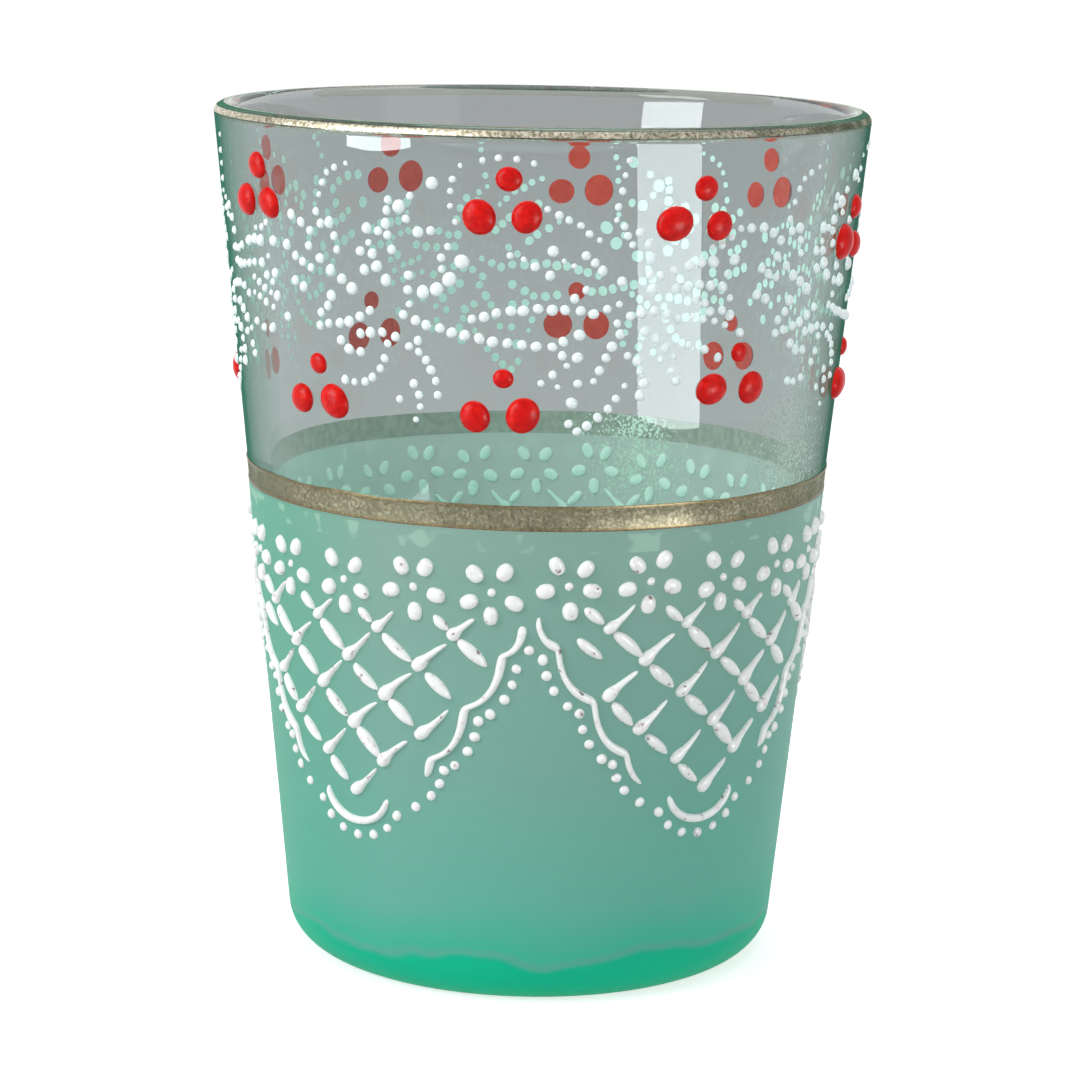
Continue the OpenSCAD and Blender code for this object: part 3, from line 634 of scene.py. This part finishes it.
# The separate solids of a CAD node, merged, each as its list of vertices
def islands(bm):
    todo = set(bm.verts)
    found = []
    for seed in bm.verts:
        if seed not in todo:
            continue
        todo.discard(seed)
        group, reached = [seed], [seed]
        while reached:
            v = reached.pop()
            for e in v.link_edges:
                w = e.other_vert(v)
                if w in todo:
                    todo.discard(w)
                    group.append(w)
                    reached.append(w)
        found.append(group)
    return found


def mergedCopy(nodeName):
    bm = bmesh.new()
    bm.from_mesh(nodes[nodeName].data)
    bmesh.ops.remove_doubles(bm, verts=bm.verts, dist=0.002 * mm)
    return bm


# A drop is sunk into the glass, and the back of a stroke shows at backAt off the glass's side. No two
# drops come out quite alike: stretch and height are the shares by which they differ.
enamel = {"sunk": 0.06, "backAt": -0.3, "stretch": 0.07, "height": 0.1, "softness": 2}


# Where each round drop of a CAD node sits: its axes, place, width and height
def dropPlaces(nodeName):
    bm = mergedCopy(nodeName)
    places = []
    for group in islands(bm):
        points = [v.co.copy() for v in group]
        middle = sum(points, Vector()) / len(points)
        turn = math.atan2(middle.x, -middle.y)
        level = math.cos(lean)
        out = Vector((math.sin(turn) * level, -math.cos(turn) * level, -math.sin(lean)))
        side = Vector((math.cos(turn), math.sin(turn), 0))
        up = out.cross(side)
        reaches = [[p.dot(axis) for p in points] for axis in (side, up, out)]
        spans = [(min(reach), max(reach)) for reach in reaches]
        seat = spans[2][0] - enamel["sunk"] * mm
        centre = side * sum(spans[0]) / 2 + up * sum(spans[1]) / 2 + out * seat
        places.append((side, up, out, centre, spans[0][1] - spans[0][0], spans[2][1] - spans[2][0]))
    bm.free()
    return places


# Half a ball with a flat back, one across and one high
def makeDropMesh(around, rings):
    bm = bmesh.new()
    bmesh.ops.create_uvsphere(bm, u_segments=around, v_segments=rings, radius=1)
    cut = bmesh.ops.bisect_plane(bm, geom=bm.verts[:] + bm.edges[:] + bm.faces[:],
                                 plane_co=(0, 0, -0.001), plane_no=(0, 0, 1), clear_inner=True)
    rim = [e for e in cut["geom_cut"] if isinstance(e, bmesh.types.BMEdge)]
    for f in bmesh.ops.holes_fill(bm, edges=rim)["faces"]:
        f.material_index = 1
    bmesh.ops.scale(bm, vec=(0.5, 0.5, 1), verts=bm.verts)
    mesh = bpy.data.meshes.new("drop")
    bm.to_mesh(mesh)
    bm.free()
    return mesh


def makeDrops(name, nodeName, materials, slot, around, rings, swell, seed):
    draw = random.Random(seed)
    template = makeDropMesh(around, rings)
    bm = bmesh.new()
    for side, up, out, centre, wide, high in dropPlaces(nodeName):
        first = len(bm.verts)
        bm.from_mesh(template)
        bm.verts.ensure_lookup_table()
        stretch = 1 + draw.uniform(-enamel["stretch"], enamel["stretch"])
        tall = high * draw.uniform(1 - enamel["height"], 1 + enamel["height"])
        size = Matrix.Diagonal((wide * swell * stretch, wide * swell / stretch, tall, 1))
        roll = Matrix.Rotation(draw.uniform(0, math.pi), 4, "Z")
        stand = Matrix((side, up, out)).transposed().to_4x4()
        move = Matrix.Translation(centre) @ stand @ roll @ size
        bmesh.ops.transform(bm, matrix=move, verts=bm.verts[first:])
    return makePiece(name, bm, materials, slot, nodeName)


# Strokes keep the CAD's path and get a soft section, swollen by millimetres. Longer is how many times
# its own length each gets.
def makeStrokes(name, nodeName, swell, longer=1):
    bm = mergedCopy(nodeName)
    for group in islands(bm):
        far = max(group, key=lambda v: (v.co - group[0].co).length)
        end = max(group, key=lambda v: (v.co - far.co).length)
        along, middle = (end.co - far.co).normalized(), (end.co + far.co) / 2
        for v in group:
            v.co += along * (v.co - middle).dot(along) * (longer - 1)
    bmesh.ops.join_triangles(bm, faces=bm.faces, angle_face_threshold=math.pi,
                             angle_shape_threshold=math.pi)
    bmesh.ops.recalc_face_normals(bm, faces=bm.faces)
    for v in bm.verts:
        v.co += v.normal * swell * mm
    # The flat back reaches through the coat, which shows it paler from inside
    for f in bm.faces:
        outward = f.calc_center_median().xy.normalized()
        if f.normal.xy.dot(outward) < -0.8:
            f.material_index = 1
    for v in {v for f in bm.faces if f.material_index for v in f.verts}:
        outward = v.co.xy.normalized()
        shift = sideRadius(v.co.z / mm, enamel["backAt"]) * mm - v.co.xy.length
        v.co += Vector((outward.x, outward.y, 0)) * shift
    piece = makePiece(name, bm, white, "white_enamel", nodeName)
    soft = piece.modifiers.new("soft", "SUBSURF")
    soft.levels = soft.render_levels = enamel["softness"]
    return piece


red, pale, white = [redMaterial, redBack], [paleMaterial, paleBack], [whiteMaterial, whiteBack]
for row in ("upper", "lower"):
    makeDrops(row + "_red_berries", row + "_berries", red, "red_enamel", around=32, rings=16, swell=1.02,
              seed=3)
for kind, seed in (("vine", 5), ("leaf", 7), ("spray", 11)):
    makeDrops(kind + "_beads", kind + "_dots", pale, "pale_enamel", around=12, rings=6, swell=1.06,
              seed=seed)
makeDrops("blossom_hearts", "blossom_centres", white, "white_enamel", around=16, rings=8, swell=1.05,
          seed=13)
makeDrops("edge_pearls", "scallop_pearls", white, "white_enamel", around=16, rings=8, swell=1.05, seed=17)
makeStrokes("blossom_leaves", "blossom_petals", swell=0.13)
makeStrokes("trellis_lines", "trellis_strokes", swell=0.15, longer=1.25)
makeStrokes("trellis_tears", "trellis_drops", swell=0.15, longer=1.08)
makeStrokes("scallop_border", "scallop_line", swell=0.13)
print("enamel: made")
